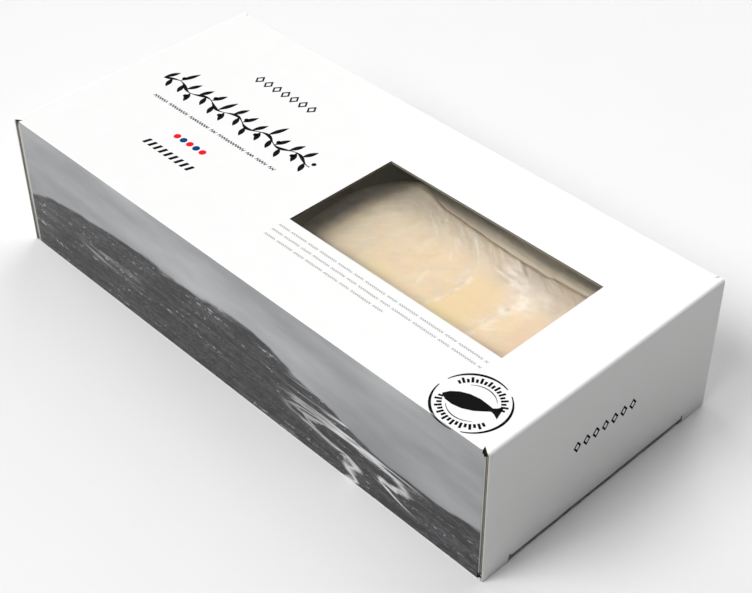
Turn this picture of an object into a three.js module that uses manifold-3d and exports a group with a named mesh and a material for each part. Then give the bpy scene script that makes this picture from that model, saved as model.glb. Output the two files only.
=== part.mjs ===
// A folding carton with a window in its top, shut, and the clipfish fillet that lies in it.
// Millimetres, +Z up. The origin is the middle of the footprint, on the surface that it stands on.
// +X points at the end by the window, -Y at the long side panel with the printed band.

import * as THREE from "three";
import { mergeVertices } from "three/addons/utils/BufferGeometryUtils.js";
import Module from "manifold-3d";

const wasm = await Module();
wasm.setup();

// Driving dimensions of the carton
const LENGTH = 260; // over both end closures
const WIDTH = 121;
const HEIGHT = 61;
const BOARD = 0.95; // thickness of the board
const PLY_GAP = 0.6; // air between two plies of board
const WINDOW = { left: -2.9, right: 102.6, front: -25.3, back: 27.1 };

// Folds, by their outer radius
const SLEEVE_FOLD = 0.6;
const CLOSURE_FOLD = 1.3;
const DUST_FOLD = 1;
const TONGUE_FOLD = 1.2;
const ARC_STEPS = 6;

// Closures and flaps
const CLOSURE_SIDE_CLEARANCE = 0.15; // a closure is this much narrower than the carton, each side
const TONGUE = { front: -46.5, back: 46.5, length: 10.5, taper: 3 };
const SHOULDER_NOTCH = { width: 1.1, height: 3.4 }; // beside the root of the tongue
const DUST_FLAP = { length: 42, topDrop: 2.2 };
const RELIEF_SLIT = { inFromEnd: 3.8, inFromSide: 1.9, mouthFromEnd: 2, frontWidth: 2, backWidth: 0.8 };
const RUN_PAST = 0.5; // how far a cutter runs past the face that it cuts

// Driving dimensions of the fillet
const FISH = {
  x: 50,
  y: 8,
  halfLength: 75,
  halfWidth: 49,
  crest: 52.6, // height of its top above the ground
  shoulder: 18, // radius where the top rolls over into the flank
  heel: 11, // radius where the flank rolls in to the underside
  undercut: 1.6, // how far the flank draws in on its way down to the heel
  floorGap: 0.35, // between its underside and the carton's floor
};
const PLAN = { power: 3.2, extraPower: 0.8, squarestAt: 1 }; // superellipse, squarer towards one angle
const RIPPLE = [
  { waves: 5, size: 0.008, phase: 1 },
  { waves: 9, size: 0.006, phase: 0 },
];
const DOME = { across: 0.0009, along: 0.00035 }; // fall of the top, per mm squared from its middle
const END_FALL = { from: 20, over: 22, depth: 6 }; // how the top sinks towards its left end
const SWELL = { height: 0.5, lengthX: 15, lengthY: 11, phase: 1 };
const SEAM = { x: 66, y: 26.75, bow: 0.002, depth: 0.7, width: 1.3, drop: 0.14 };
const FLAKE = { count: 7, first: 4.6, pitch: 18.9, drift: 1.2, width: 2.8, depth: 0.5 };
const FLAKE_FADE = { from: 8, over: 14 }; // the flakes flatten out from there towards the seam
const DRIFT = { step: 2.4, start: -2.5 }; // radians, which make the flakes uneven in length
const SEPTUM = { bend: 4, sweep: 0.042, lean: 0.004 }; // how a septum curves across the fillet
const SECTORS = 104;
const TOP_RINGS = 17;
const SHOULDER_RINGS = 6;
const FLANK_RINGS = 3;
const HEEL_RINGS = 3;
const SOLE_RINGS = 2;

// Where the board's plies lie at an end, counted from the outside in
const END = LENGTH / 2;
const DUST_FACE = END - BOARD - PLY_GAP;
const SLEEVE_END = DUST_FACE - DUST_FOLD;
const TONGUE_FACE = BOARD + PLY_GAP; // height of the tongue's lower face
const DUST_FOOT = TONGUE_FACE + BOARD + PLY_GAP;
const SIDE = WIDTH / 2;

// A closed geometry as a solid, and a solid as a geometry
function solid(geometry) {
  geometry.deleteAttribute("normal");
  geometry.deleteAttribute("uv");
  const merged = mergeVertices(geometry, 1e-4);
  return new wasm.Manifold(
    new wasm.Mesh({
      numProp: 3,
      vertProperties: merged.attributes.position.array,
      triVerts: new Uint32Array(merged.index.array),
    }),
  );
}

function geometryOf(manifold) {
  const mesh = manifold.getMesh();
  const geometry = new THREE.BufferGeometry();
  geometry.setAttribute("position", new THREE.BufferAttribute(mesh.vertProperties, 3));
  geometry.setIndex(new THREE.BufferAttribute(mesh.triVerts, 1));
  const flat = geometry.toNonIndexed();
  flat.computeVertexNormals();
  return flat;
}

// Extrusions: a section drawn in YZ, XZ or XY, pushed along the axis that is left
function alongX(section, from, to) {
  const geometry = new THREE.ExtrudeGeometry(section, { depth: to - from, bevelEnabled: false });
  const turn = new THREE.Matrix4().makeBasis(
    new THREE.Vector3(0, 1, 0),
    new THREE.Vector3(0, 0, 1),
    new THREE.Vector3(1, 0, 0),
  );
  return solid(geometry.applyMatrix4(turn).translate(from, 0, 0));
}

function alongY(section, from, to) {
  const geometry = new THREE.ExtrudeGeometry(section, { depth: to - from, bevelEnabled: false });
  return solid(geometry.rotateX(Math.PI / 2).translate(0, to, 0));
}

function alongZ(section, from, to) {
  const geometry = new THREE.ExtrudeGeometry(section, { depth: to - from, bevelEnabled: false });
  return solid(geometry.translate(0, 0, from));
}

function block(x, y, z) {
  const geometry = new THREE.BoxGeometry(x[1] - x[0], y[1] - y[0], z[1] - z[0]);
  geometry.translate((x[0] + x[1]) / 2, (y[0] + y[1]) / 2, (z[0] + z[1]) / 2);
  return solid(geometry);
}

function union(solids) {
  return solids.reduce((whole, next) => whole.add(next));
}

// Section of a board whose outer face runs start, corner, end, with the corner folded round
function foldedBoard(start, corner, end, radius) {
  const along = corner.clone().sub(start).normalize();
  const away = end.clone().sub(corner).normalize();
  const centre = corner.clone().addScaledVector(along, -radius).addScaledVector(away, radius);
  const arc = (r) =>
    Array.from({ length: ARC_STEPS + 1 }, (_, i) => {
      const turn = (i / ARC_STEPS) * (Math.PI / 2);
      return centre
        .clone()
        .addScaledVector(along, r * Math.sin(turn))
        .addScaledVector(away, -r * Math.cos(turn));
    });
  const innerEnd = end.clone().addScaledVector(along, -BOARD);
  const innerStart = start.clone().addScaledVector(away, BOARD);
  const inner = arc(radius - BOARD).reverse();
  return new THREE.Shape([start, ...arc(radius), end, innerEnd, ...inner, innerStart]);
}

// The sleeve: top, bottom and both long side panels, with the window cut out of the top
function sleeveSection() {
  const r = SLEEVE_FOLD;
  const section = new THREE.Shape();
  section.moveTo(-SIDE + r, 0);
  section.lineTo(SIDE - r, 0);
  section.absarc(SIDE - r, r, r, -Math.PI / 2, 0);
  section.lineTo(SIDE, HEIGHT - r);
  section.absarc(SIDE - r, HEIGHT - r, r, 0, Math.PI / 2);
  section.lineTo(-SIDE + r, HEIGHT);
  section.absarc(-SIDE + r, HEIGHT - r, r, Math.PI / 2, Math.PI);
  section.lineTo(-SIDE, r);
  section.absarc(-SIDE + r, r, r, Math.PI, Math.PI * 1.5);
  const inside = new THREE.Path();
  inside.moveTo(-SIDE + BOARD, BOARD);
  inside.lineTo(-SIDE + BOARD, HEIGHT - BOARD);
  inside.lineTo(SIDE - BOARD, HEIGHT - BOARD);
  inside.lineTo(SIDE - BOARD, BOARD);
  section.holes.push(inside);
  return section;
}

function sleeve() {
  const tube = alongX(sleeveSection(), -SLEEVE_END, SLEEVE_END);
  const opening = block(
    [WINDOW.left, WINDOW.right],
    [WINDOW.front, WINDOW.back],
    [HEIGHT - BOARD - RUN_PAST, HEIGHT + RUN_PAST],
  );
  const sill = SIDE - DUST_FOLD; // the bottom panel runs on to the dust flaps' outer faces
  const floor = block([-DUST_FACE, DUST_FACE], [-sill, sill], [0, BOARD]);
  return tube.subtract(opening).add(floor);
}

// The closure at the +X end: down from the top panel, and its tongue in over the bottom panel
function closurePanel() {
  const root = new THREE.Vector2(SLEEVE_END - CLOSURE_FOLD, HEIGHT);
  const corner = new THREE.Vector2(END, HEIGHT);
  const panelTo = (foot) => foldedBoard(root, corner, new THREE.Vector2(END, foot), CLOSURE_FOLD);
  const reach = SIDE - CLOSURE_SIDE_CLEARANCE;
  const notch = SHOULDER_NOTCH;
  return union([
    alongY(panelTo(0), -reach, TONGUE.front - notch.width),
    alongY(panelTo(notch.height), TONGUE.front - notch.width, TONGUE.back + notch.width),
    alongY(panelTo(0), TONGUE.back + notch.width, reach),
  ]);
}

function tongue() {
  const tip = END - TONGUE.length;
  const section = foldedBoard(
    new THREE.Vector2(END, SHOULDER_NOTCH.height + RUN_PAST),
    new THREE.Vector2(END, TONGUE_FACE),
    new THREE.Vector2(tip, TONGUE_FACE),
    TONGUE_FOLD,
  );
  const strip = alongY(section, TONGUE.front, TONGUE.back);
  const corner = (side) => {
    const edge = side < 0 ? TONGUE.front : TONGUE.back;
    const cut = new THREE.Shape([
      new THREE.Vector2(tip - RUN_PAST, edge - side * TONGUE.taper),
      new THREE.Vector2(END - 2 * TONGUE_FOLD, edge + side * RUN_PAST),
      new THREE.Vector2(tip - RUN_PAST, edge + side * RUN_PAST),
    ]);
    return alongZ(cut, 0, 2 * TONGUE_FACE);
  };
  return strip.subtract(corner(-1)).subtract(corner(1));
}

function dustFlap(side) {
  const section = foldedBoard(
    new THREE.Vector2(SLEEVE_END - DUST_FOLD, side * SIDE),
    new THREE.Vector2(DUST_FACE, side * SIDE),
    new THREE.Vector2(DUST_FACE, side * (SIDE - DUST_FLAP.length)),
    DUST_FOLD,
  );
  return alongZ(section, DUST_FOOT, HEIGHT - DUST_FLAP.topDrop);
}

// A short slit from the top panel out through its corner, which frees the closure's fold
function reliefSlit(side) {
  const slit = RELIEF_SLIT;
  const width = side < 0 ? slit.frontWidth : slit.backWidth;
  const inner = new THREE.Vector2(END - slit.inFromEnd, side * (SIDE - slit.inFromSide));
  const mouth = new THREE.Vector2(END - slit.mouthFromEnd, side * (SIDE + RUN_PAST));
  const run = mouth.clone().sub(inner);
  const across = new THREE.Vector2(-run.y, run.x).setLength(width / 2);
  const outline = new THREE.Shape([
    inner,
    mouth.clone().add(across),
    mouth.clone().sub(across),
  ]);
  return alongZ(outline, HEIGHT - BOARD - RUN_PAST, HEIGHT + RUN_PAST);
}

function closedEnd() {
  return union([closurePanel(), tongue(), dustFlap(-1), dustFlap(1)]);
}

function carton() {
  const end = closedEnd();
  const slits = reliefSlit(-1).add(reliefSlit(1));
  const acrossX = [1, 0, 0];
  return sleeve()
    .add(end)
    .add(end.mirror(acrossX))
    .subtract(slits)
    .subtract(slits.mirror(acrossX));
}

// The fillet's outline seen from above: a rounded box, squarest at its back right corner
function outlineRadius(angle) {
  const power = PLAN.power + PLAN.extraPower * Math.cos(angle - PLAN.squarestAt);
  const cos = Math.abs(Math.cos(angle)) / FISH.halfLength;
  const sin = Math.abs(Math.sin(angle)) / FISH.halfWidth;
  const ripple = RIPPLE.reduce((sum, r) => sum + r.size * Math.sin(r.waves * angle + r.phase), 1);
  return ripple * (cos ** power + sin ** power) ** (-1 / power);
}

// Relief of the top: the long seam, the fall behind it, and the flakes between the septa
function seamY(x) {
  return SEAM.y + SEAM.bow * (x - SEAM.x) ** 2;
}

function bell(distance, width) {
  return Math.exp(-((distance / width) ** 2));
}

function septumShift(y) {
  const past = y - SEPTUM.bend;
  return past > 0 ? -SEPTUM.sweep * past ** 2 : -SEPTUM.lean * past ** 2;
}

function flakeRelief(x, y) {
  const along = x - septumShift(Math.min(y, seamY(x)));
  const depth = FLAKE.depth * bell(Math.max(0, y - FLAKE_FADE.from), FLAKE_FADE.over);
  let relief = 0;
  for (let k = 0; k < FLAKE.count; k++) {
    const place = FLAKE.first + FLAKE.pitch * k + FLAKE.drift * Math.sin(DRIFT.step * k + DRIFT.start);
    relief -= depth * bell(along - place, FLAKE.width);
  }
  return relief;
}

function topHeight(x, y) {
  const behind = y - seamY(x);
  const dome = DOME.across * (y - FISH.y) ** 2 + DOME.along * (x - FISH.x) ** 2;
  const wave = Math.sin(x / SWELL.lengthX + SWELL.phase) * Math.cos(y / SWELL.lengthY);
  const swell = SWELL.height * wave;
  const seam = SEAM.depth * bell(behind, SEAM.width) + SEAM.drop * Math.max(0, behind);
  const fall = END_FALL.depth * (1 - bell(Math.max(0, END_FALL.from - x), END_FALL.over));
  return FISH.crest - dome + swell - seam - fall + flakeRelief(x, y);
}

// One ring round the fillet, at a distance in from its outline and a height worked out per point
function ring(inset, heightAt) {
  return Array.from({ length: SECTORS }, (_, i) => {
    const angle = (i / SECTORS) * 2 * Math.PI;
    const reach = outlineRadius(angle);
    const scale = Math.max(0, 1 - inset(reach) / reach);
    const x = FISH.x + scale * reach * Math.cos(angle);
    const y = FISH.y + scale * reach * Math.sin(angle);
    return [x, y, heightAt(x, y)];
  });
}

const SOLE = BOARD + FISH.floorGap; // height of the fillet's underside

function filletRings() {
  const { shoulder, heel, undercut } = FISH;
  const rings = [];
  for (let i = 1; i <= TOP_RINGS; i++) {
    rings.push(ring((reach) => reach - (reach - shoulder) * (i / TOP_RINGS), topHeight));
  }
  for (let i = 1; i <= SHOULDER_RINGS; i++) {
    const turn = (i / SHOULDER_RINGS) * (Math.PI / 2);
    const fall = shoulder * (1 - Math.cos(turn));
    rings.push(ring(() => shoulder * (1 - Math.sin(turn)), (x, y) => topHeight(x, y) - fall));
  }
  for (let i = 1; i <= FLANK_RINGS; i++) {
    const t = i / FLANK_RINGS;
    const heightAt = (x, y) => {
      const upper = topHeight(x, y) - shoulder;
      return upper + (SOLE + heel - upper) * t;
    };
    rings.push(ring(() => undercut * t, heightAt));
  }
  for (let i = 1; i <= HEEL_RINGS; i++) {
    const turn = (i / HEEL_RINGS) * (Math.PI / 2);
    const inset = undercut + heel * (1 - Math.cos(turn));
    rings.push(ring(() => inset, () => SOLE + heel * (1 - Math.sin(turn))));
  }
  for (let i = 1; i <= SOLE_RINGS; i++) {
    const edge = undercut + heel;
    rings.push(ring((reach) => edge + (reach - edge) * (i / (SOLE_RINGS + 1)), () => SOLE));
  }
  return rings;
}

function fillet() {
  const rings = filletRings();
  const points = rings.flat();
  const top = points.push([FISH.x, FISH.y, topHeight(FISH.x, FISH.y)]) - 1;
  const bottom = points.push([FISH.x, FISH.y, SOLE]) - 1;
  const last = (rings.length - 1) * SECTORS;
  const faces = [];
  for (let i = 0; i < SECTORS; i++) {
    const next = (i + 1) % SECTORS;
    faces.push(top, i, next);
    faces.push(bottom, last + next, last + i);
    for (let r = 0; r + 1 < rings.length; r++) {
      const a = r * SECTORS + i;
      const b = r * SECTORS + next;
      faces.push(a, a + SECTORS, b + SECTORS, a, b + SECTORS, b);
    }
  }
  const geometry = new THREE.BufferGeometry();
  geometry.setAttribute("position", new THREE.Float32BufferAttribute(points.flat(), 3));
  geometry.setIndex(faces);
  return solid(geometry);
}

function named(name, manifold, color, roughness) {
  const material = new THREE.MeshStandardMaterial({ color, roughness, metalness: 0 });
  const mesh = new THREE.Mesh(geometryOf(manifold), material);
  mesh.name = name;
  return mesh;
}

const pack = new THREE.Group();
pack.add(named("carton", carton(), 0xf4f4f2, 0.55));
pack.add(named("fillet", fillet(), 0xe6cfae, 0.45));

export default pack;
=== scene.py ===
"""Looks of a shut window carton and of the clipfish fillet that lies in it.

Design values are millimetres in the part's own frame, and meshes are made in metres.
+X points at the end beside the window, -Y at the printed long side and +Z up."""

import math
import random

import bmesh
import bpy
from mathutils import Matrix, Vector, noise


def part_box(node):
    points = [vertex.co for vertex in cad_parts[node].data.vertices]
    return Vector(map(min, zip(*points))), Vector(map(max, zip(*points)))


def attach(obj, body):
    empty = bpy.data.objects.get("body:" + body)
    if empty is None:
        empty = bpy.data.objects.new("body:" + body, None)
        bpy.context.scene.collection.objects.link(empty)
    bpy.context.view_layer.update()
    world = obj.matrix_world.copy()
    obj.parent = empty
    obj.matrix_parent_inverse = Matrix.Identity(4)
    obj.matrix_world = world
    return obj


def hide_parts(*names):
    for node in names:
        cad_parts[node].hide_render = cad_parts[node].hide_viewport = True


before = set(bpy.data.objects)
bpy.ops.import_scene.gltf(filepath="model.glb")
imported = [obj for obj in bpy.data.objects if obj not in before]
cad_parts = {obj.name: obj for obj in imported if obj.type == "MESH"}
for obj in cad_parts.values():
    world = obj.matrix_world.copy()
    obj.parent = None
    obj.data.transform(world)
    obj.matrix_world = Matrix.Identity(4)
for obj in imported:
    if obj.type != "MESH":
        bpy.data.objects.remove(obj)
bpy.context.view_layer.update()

MM = 0.001
BODY = "root"

# The carton, from the frame, and its board as the part has it
CARTON_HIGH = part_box("carton")[1] / MM
END = CARTON_HIGH.x
SIDE = CARTON_HIGH.y
HEIGHT = CARTON_HIGH.z
LENGTH = 2 * END
BOARD = 0.95
PLY_GAP = 0.6
WINDOW = {"left": -2.9, "right": 102.6, "front": -25.3, "back": 27.1}
SLEEVE_FOLD = 0.6
CLOSURE_FOLD = 1.3
DUST_FOLD = 1.0
TONGUE_FOLD = 1.2
INNER_FOLD = 0.05
FOLD_STEPS = 14
DUST_FACE = END - BOARD - PLY_GAP
SLEEVE_END = DUST_FACE - DUST_FOLD
TONGUE_FACE = BOARD + PLY_GAP
DUST_FOOT = TONGUE_FACE + BOARD + PLY_GAP
CLOSURE_CLEARANCE = 0.15
TONGUE = {"half": 46.5, "length": 10.5, "taper": 3.0}
NOTCH = {"width": 1.1, "height": 3.4}
DUST_FLAP = {"length": 42.0, "drop": 2.2}
SLIT = {"from_end": 3.8, "from_side": 1.9, "mouth": 2.0, "front_width": 2.0, "back_width": 0.8}
RUN_PAST = 0.5
BAND = {"left": -126.0, "right": 127.8, "crease_left": -127.2, "crease_right": 128.1}

# Roles of the carton's faces, which are its material slots
OUTER, PRINTED, RAW, INNER = range(4)

# The camera, in lengths of the carton, and the picture's width in pixels
EYE = (1.3142, -1.1962, 1.5492)
LOOK_AZIMUTH = math.radians(46.287)
LOOK_DOWN = math.radians(40.365)
LOOK_ROLL = math.radians(-0.39)
PICTURE_WIDTH = 752
FOCAL_PIXELS = 1527.4
SENSOR = 36.0

# Soft lights: azimuth and elevation that each comes from, its spread and strength
LIGHTS = {
    "key": (240, 46, 28, 1.87),
    "front": (270, 46, 28, 1.13),
    "left_low": (180, 16, 28, 1.30),
    "back_left": (120, 32, 28, 0.71),
    "back": (90, 60, 28, 0.55),
    "overhead": (150, 76, 28, 0.31),
}
# Lamps for the light that the board's inside passes on: in the hollow and under the top panel
HOLLOW_LAMP = {"place": (-100, 0, 32), "radius": 20, "power": 0.011}
STRIP_LAMP = {"place": (-7.5, 8, 59.8), "size": (8, 80), "power": 0.00065}
BACKDROP = 0.93
FLOOR_SIZE = 3.0

# The print: inks by colour with how proud they stand, then each piece's place and size
INK = {
    "proud": 0.02, "root": 0.05, "black": (0.004, 0.004, 0.004), "grey": (0.06, 0.06, 0.06),
    "pale": (0.42, 0.42, 0.42), "red": (0.76, 0.008, 0.014), "blue": (0.0, 0.05, 0.19),
}
# Fractions along a leaf or a disc, which keep clear of its tips
STEPS = [(i + 0.25) / 12.5 for i in range(13)]
VINE = {
    "left": -112.2, "right": -22.0, "middle": 3.2, "sway": 1.5, "wave": 18.2, "pen": 1.3,
    "leaves": 26, "lean": 2.6, "up": 6.8, "down": 5.8, "tall": 9.2, "leaf_width": 2.3, "berry": 1.0,
    "berry_below": 2.6, "berry_above": 2.4, "steps": 160, "thin": 0.75, "swell": 0.45,
    "swell_step": 0.35,
}
UPPER_ROW = {"left": -85.2, "right": -48.2, "middle": 29.0, "height": 5.6, "count": 7, "pen": 1.2}
END_ROW = {"left": -18.2, "right": 16.2, "middle": 32.5, "height": 5.4, "count": 7, "pen": 1.2}
THIN_ROW = {"left": -104.4, "right": -29.1, "middle": -9.1, "height": 2.3, "pen": 0.85, "seed": 3}
BARS = {"left": -81.4, "right": -51.8, "middle": -31.7, "height": 3.6, "count": 9, "pen": 1.6}
NOTE = ((-3.1, 101.9, -30.1), (-3.1, 101.9, -33.6), (-3.1, 60.2, -37.2))
NOTE_PEN = {"height": 1.6, "pen": 0.6, "seed": 8}
DOTS = {"x": -74.0, "y": -21.4, "pitch": 3.9, "count": 5, "radius": 1.55}
SEAL = {
    "centre": (110.1, -47.8), "tilt": 19, "ring": 13.4, "ring_pen": 1.0,
    "ring_parts": ((-62, 58), (72, 168), (184, 284)), "inner": 8.3, "inner_pen": 0.4, "ticks": 17,
    "tick_foot": 9.5, "tick_short": 11.2, "tick_top": 12.0, "tick_pen": 0.9, "halves": (25, 205),
    "tick_span": 130, "inner_span": (20, 110),
}
# The plain fish of the seal: half heights along its length
FISH_SIGN = (
    (-10.2, 0.3), (-8.4, 2.0), (-5.5, 3.2), (-2.0, 3.6), (2.0, 3.0), (5.2, 1.7), (7.2, 0.8),
    (8.5, 1.5), (10.2, 3.2),
)

# The fillet, as the part has it
FISH = {
    "x": 50.0, "y": 8.0, "half_length": 75.0, "half_width": 49.0, "crest": 52.6, "shoulder": 18.0,
    "heel": 11.0, "undercut": 1.6, "floor_gap": 0.35,
}
SOLE = BOARD + FISH["floor_gap"]
PLAN = {"power": 3.2, "extra": 0.8, "squarest": 1.0}
RIPPLES = ((5, 0.008, 1.0), (9, 0.006, 0.0))
DOME = {"across": 0.0009, "along": 0.00035}
END_FALL = {"from": 20.0, "over": 22.0, "depth": 6.0}
SWELL = {"height": 0.5, "x": 15.0, "y": 11.0, "phase": 1.0}
SEAM = {"x": 66.0, "y": 26.75, "bow": 0.002, "depth": 0.7, "width": 1.3, "drop": 0.14}
SEAM_RISE = {"from": 22.0, "curve": 0.015}
SEAM_STEP = 1.05
SEAM_SAG = 0.4
FLAKE_FILL = 0.55
FLAKE = {"count": 7, "first": 4.6, "pitch": 18.9, "width": 2.8, "depth": 0.5}
FLAKE_FADE = {"from": 8.0, "over": 14.0}
DRIFT = {"height": 1.2, "step": 2.4, "start": -2.5}
SEPTA_SHOWN = (0.0, 0.1, 0.15, 1.0, 0.9, 0.2, 0.2)
# Pale strands: their row, then the limits of each one's middle, half length, width and strength
STRANDS = {"count": 44, "seed": 5, "first": 22.0, "pitch": 2.25, "stray": 0.4}
STRAND_LIMITS = ((17, 26), (2.5, 6.5), (0.4, 1.0), (0.3, 1.0))
# Strokes that stand out on the fillet: start, end, half width and strength
# Pale strokes: strands of tissue, and at the left end painted highlights
PALE_STROKES = (
    ((45, 24.5), (55, 15), 0.6, 1), ((21, 25.3), (25.5, 20), 0.5, 0.9),
    ((26.5, 28.5), (31, 23.5), 0.7, 0.8), ((36, 26), (42.5, 19.5), 0.6, 0.8),
    ((50.5, 26), (55, 21.5), 0.6, 0.6), ((57, 26), (62, 21.5), 0.9, 0.7),
    ((64, 26), (71, 20.3), 0.8, 0.9), ((65, 19.5), (76, 17), 1.1, 0.8),
    ((62.5, 15.8), (73, 14.6), 0.6, 0.9), ((40, 19), (47, 12), 0.8, 0.5),
    ((29, 20), (34.5, 14), 0.7, 0.6), ((45.5, 11.5), (48.5, 6.5), 0.7, 0.6),
    ((2.5, 10), (6, 16.5), 1.0, 0.7), ((5, 3.5), (12, 10), 1.0, 0.6),
    ((8, -1), (12.5, 3.5), 0.5, 0.7), ((85, -9), (80.5, -12.5), 0.8, 0.6),
    ((78.5, -4.5), (79.5, -10.5), 0.9, 0.5), ((34.5, 13.5), (36.3, 1), 1.6, 0.45),
    ((25.4, 19), (24.4, 10), 1.3, 0.45), ((24.3, 9.5), (21.5, 0), 1.4, 0.4),
    ((14.8, 14.5), (9, 6.5), 1.6, 0.6), ((9.5, 8), (5, 3.2), 1.2, 0.5),
    ((46.4, -2), (48, -11.5), 1.1, 0.6), ((19.5, -2.5), (16.5, -9), 1.4, 0.4),
    ((40.8, 18.8), (45, 16.2), 1.0, 0.6), ((56.2, 9), (58.4, 1), 1.1, 0.55),
    ((32.5, 22), (36.5, 16.5), 0.9, 0.45),
)
# Dark strokes: darker tissue lines, partly painted shade in the creases
DARK_STROKES = (
    ((66, 26.8), (74.5, 20), 0.8, 0.7), ((61.5, 17.8), (66, 16.6), 0.6, 0.55),
    ((65.5, 16.7), (71.5, 16.2), 0.7, 0.5), ((66, 13.3), (72.5, 12.9), 0.8, 0.35),
    ((27.5, 25), (31, 21.5), 0.8, 0.5), ((59.6, 3), (60.1, -1.5), 0.7, 0.3),
    ((60.3, -3), (61, -9.5), 0.5, 0.3), ((80.4, 2.8), (82.2, 1.8), 0.7, 0.5),
    ((73.5, 16.4), (76.5, 15.6), 0.7, 0.35), ((76.5, 13), (78.3, 12), 0.7, 0.3),
    ((10, 24), (13, 23.2), 1.0, 0.4), ((3.5, -2.5), (7.5, -8.5), 2.0, 0.35),
    ((6, 14.2), (11, 16), 1.6, 0.35), ((22, 24), (27, 18), 1.2, 0.3),
)
# Whitish patches: middle, reach along and across their slant, and strength
CLOUDS = (
    (82, 8.2, 6.5, 4.2, 1), (76, 14.5, 6, 4, 0.85), (68.5, 18.8, 6, 3, 0.9), (86, 16, 5, 3, 0.5),
    (80, 0, 2.6, 1.5, 0.9),
)
# Darker golden patches, in the same terms
TANS = (
    (22, 16.5, 6, 5, 0.9), (37.5, 21, 4.5, 3, 0.6), (32, 11, 6, 5, 0.4), (70, 21.5, 4, 2, 0.6),
    (78, 20.5, 4, 2, 0.6),
)
PATCH_SLANT = math.radians(-40)
# Yellowish spots along the front edge: middle and reach
RIND_SPOTS = ((32, 9), (65, 7))
# Noise on the fillet: its cells along x and y, and its layer
GRAINS = {
    "coarse": (8, 8, 3.1), "fine": (2.2, 2.2, 7.7), "sway": (7, 7, 13.4),
    "blotch": (3.2, 2.6, 11.3), "membrane": (9, 9, 5.0), "bands": (2.8, 12, 9.2),
    "breaks": (2.4, 2.4, 2.4), "patchy": (3.4, 2.6, 21.0), "brush": (2.0, 9, 31.0),
    "wobble": (7, 1, 40.5), "mottle": (5, 4, 71.0), "rind": (9, 5, 2.2), "rosy": (6, 4, 51.0),
    "dusky": (7, 5, 61.0), "lumps": (6, 5, 0.3), "pebbles": (1.8, 1.5, 4.4),
}
# Where each change of tissue or shade starts and ends
FADES = {
    "seam_step": (78.5, 81.0), "seam_sag": (44.0, 56.0), "back": (0, 0.9),
    "deep_starts": (3.0, 5.8), "deep_ends": (7.0, 8.8), "seam_groove": (13, 25),
    "seam_weakens": (78, 82), "wedge": (16, 24), "wedge_narrows": (6, 14), "end": (-23, -10),
    "shade": (-7, 1), "mottle_x": (-3, 6), "corner_x": (2, 13), "corner_y": (-17, -11),
    "nook_x": (-2, 12), "nook_y": (22, 36), "grey": (4, 40), "dim": (20, 66), "rim_x": (15, 70),
    "rim_y": (-17.5, -14.0), "gold_starts": (60.5, 62.5), "gold_ends": (72, 79), "gold_y": (4, 14),
    "mauve_starts": (62, 71), "mauve_weakens": (77, 85), "sunny_x": (87, 93), "sunny_y": (12, 24),
    "blotch": (-0.5, 0.45), "bands": (-0.2, 0.6), "patchy": (-0.45, 0.3), "mottle": (-0.25, 0.35),
    "rosy": (0.0, 0.5), "dusky": (0.0, 0.5),
}
# How far each kind of tissue stands up from the flesh, or lies in it
RELIEF = {"streak": 0.12, "cloud": 0.22, "septa": -0.12, "crease": -0.2, "seam": -0.3}
LUMPS = {"lumps": 0.22, "pebbles": 0.08}
SEPTUM = {"bend": 4.0, "sweep": 0.042, "lean": 0.004}
SECTORS = 520
TOP_RINGS = 150
SHOULDER_RINGS = 34
FLANK_RINGS = 18
HEEL_RINGS = 12
SOLE_RINGS = 10


# Shapes in two dimensions


def arc(centre, radius, start, stop, steps):
    """Points on an arc, with both ends, from one angle to another in degrees."""
    turns = [math.radians(start + (stop - start) * i / steps) for i in range(steps + 1)]
    return [Vector((centre[0] + radius * math.cos(t), centre[1] + radius * math.sin(t))) for t in turns]


def folded(start, corner, end, radius):
    """Outer and inner lines of a board that is folded at a rounded corner."""
    start, corner, end = Vector(start), Vector(corner), Vector(end)
    along = (corner - start).normalized()
    away = (end - corner).normalized()
    centre = corner - along * radius + away * radius

    def bend(r):
        turns = [math.pi / 2 * i / FOLD_STEPS for i in range(FOLD_STEPS + 1)]
        return [centre + along * r * math.sin(t) - away * r * math.cos(t) for t in turns]

    outer = [start, *bend(radius), end]
    inner = [start + away * BOARD, *bend(radius - BOARD), end - along * BOARD]
    return outer, inner


def rounded_rectangle(half_width, low, high, radius):
    """A closed line round a rectangle with rounded corners."""
    right, foot, top = half_width - radius, low + radius, high - radius
    corners = ((right, foot, -90), (right, top, 0), (-right, top, 90), (-right, foot, 180))
    return [p for u, v, turn in corners for p in arc((u, v), radius, turn, turn + 90, FOLD_STEPS)]


# Meshes


def in_space(axis, point, distance):
    """A point of a section that lies across an axis, in metres."""
    u, v = point
    return Vector({"x": (distance, u, v), "y": (u, distance, v), "z": (u, v, distance)}[axis]) * MM


def placed(name, data):
    """A new object in the scene with that data."""
    piece = bpy.data.objects.new(name, data)
    bpy.context.scene.collection.objects.link(piece)
    return piece


def new_object(name, mesh):
    """A new object with that bmesh, its faces pointing out."""
    bmesh.ops.recalc_face_normals(mesh, faces=mesh.faces)
    data = bpy.data.meshes.new(name)
    mesh.to_mesh(data)
    mesh.free()
    return placed(name, data)


def add_face(mesh, corners, role=0):
    mesh.faces.new(corners).material_index = role


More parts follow.
